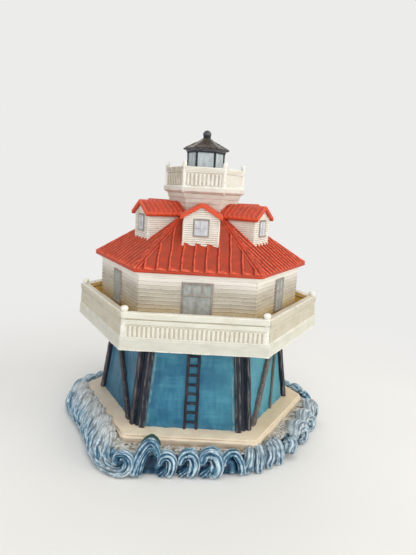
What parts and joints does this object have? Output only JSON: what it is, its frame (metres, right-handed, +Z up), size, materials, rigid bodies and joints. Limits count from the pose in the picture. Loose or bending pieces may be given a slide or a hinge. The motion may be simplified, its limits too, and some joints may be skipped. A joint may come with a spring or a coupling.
{
  "type": "lighthouse figurine",
  "caption": "Painted cast figurine of a six-sided screw-pile lighthouse: sea base, piles, gallery, cottage with dormers, watch room and lantern. Stands on felt.",
  "frame": {"origin": "middle of the felt underside, on the axis of the hexagon", "axes": "+Z up along the axis, -Y out of the front face with the ladder, +X to the right seen from the front"},
  "size_m": [0.2034, 0.1888, 0.2155],
  "materials": {
    "felt": "brushed felt",
    "sea_paint": "brushed blue with white dry-brushing",
    "sand_paint": "matt paint",
    "drum_paint": "brushed matt paint",
    "pile_paint": "matt paint with dry-brushing",
    "gallery_paint": "washed matt paint",
    "cream_paint": "washed matt paint",
    "window_paint": "matt paint",
    "roof_paint": "satin paint with a dark wash",
    "lantern_frame_paint": "matt paint",
    "lantern_pane_paint": "satin paint",
    "lantern_roof_paint": "matt paint with dry-brushing"
  },
  "bodies": {
    "root": {"base_felt": "felt", "brace_back": "pile_paint", "brace_back_left": "pile_paint", "brace_back_right": "pile_paint", "brace_front_left": "pile_paint", "brace_front_right": "pile_paint", "cottage_walls": "cream_paint", "dormer_back": "cream_paint", "dormer_back_left": "cream_paint", "dormer_back_right": "cream_paint", "dormer_front": "cream_paint", "dormer_front_left": "cream_paint", "dormer_front_right": "cream_paint", "dormer_roof_back": "roof_paint", "dormer_roof_back_left": "roof_paint", "dormer_roof_back_right": "roof_paint", "dormer_roof_front": "roof_paint", "dormer_roof_front_left": "roof_paint", "dormer_roof_front_right": "roof_paint", "dormer_windows": "window_paint", "finial_ball": "lantern_roof_paint", "gallery_deck": "gallery_paint", "ladder": "pile_paint", "lantern_deck": "cream_paint", "lantern_frame": "lantern_frame_paint", "lantern_panes": "lantern_pane_paint", "lantern_rail": "cream_paint", "lantern_roof": "lantern_roof_paint", "main_roof": "roof_paint", "newel_back_left": "cream_paint", "newel_back_right": "cream_paint", "newel_front_left": "cream_paint", "newel_front_right": "cream_paint", "newel_left": "cream_paint", "newel_right": "cream_paint", "parapet_back": "cream_paint", "parapet_back_left": "cream_paint", "parapet_back_right": "cream_paint", "parapet_front": "cream_paint", "parapet_front_left": "cream_paint", "parapet_front_right": "cream_paint", "piles_back_left": "pile_paint", "piles_back_right": "pile_paint", "piles_front_left": "pile_paint", "piles_front_right": "pile_paint", "piles_left": "pile_paint", "piles_right": "pile_paint", "sea_core": "drum_paint", "shore_slab": "sand_paint", "watch_room": "cream_paint", "wave_base": "sea_paint", "window_back": "window_paint", "window_back_left": "window_paint", "window_back_right": "window_paint", "window_front": "window_paint", "window_front_left": "window_paint", "window_front_right": "window_paint"}
  },
  "joints": []
}
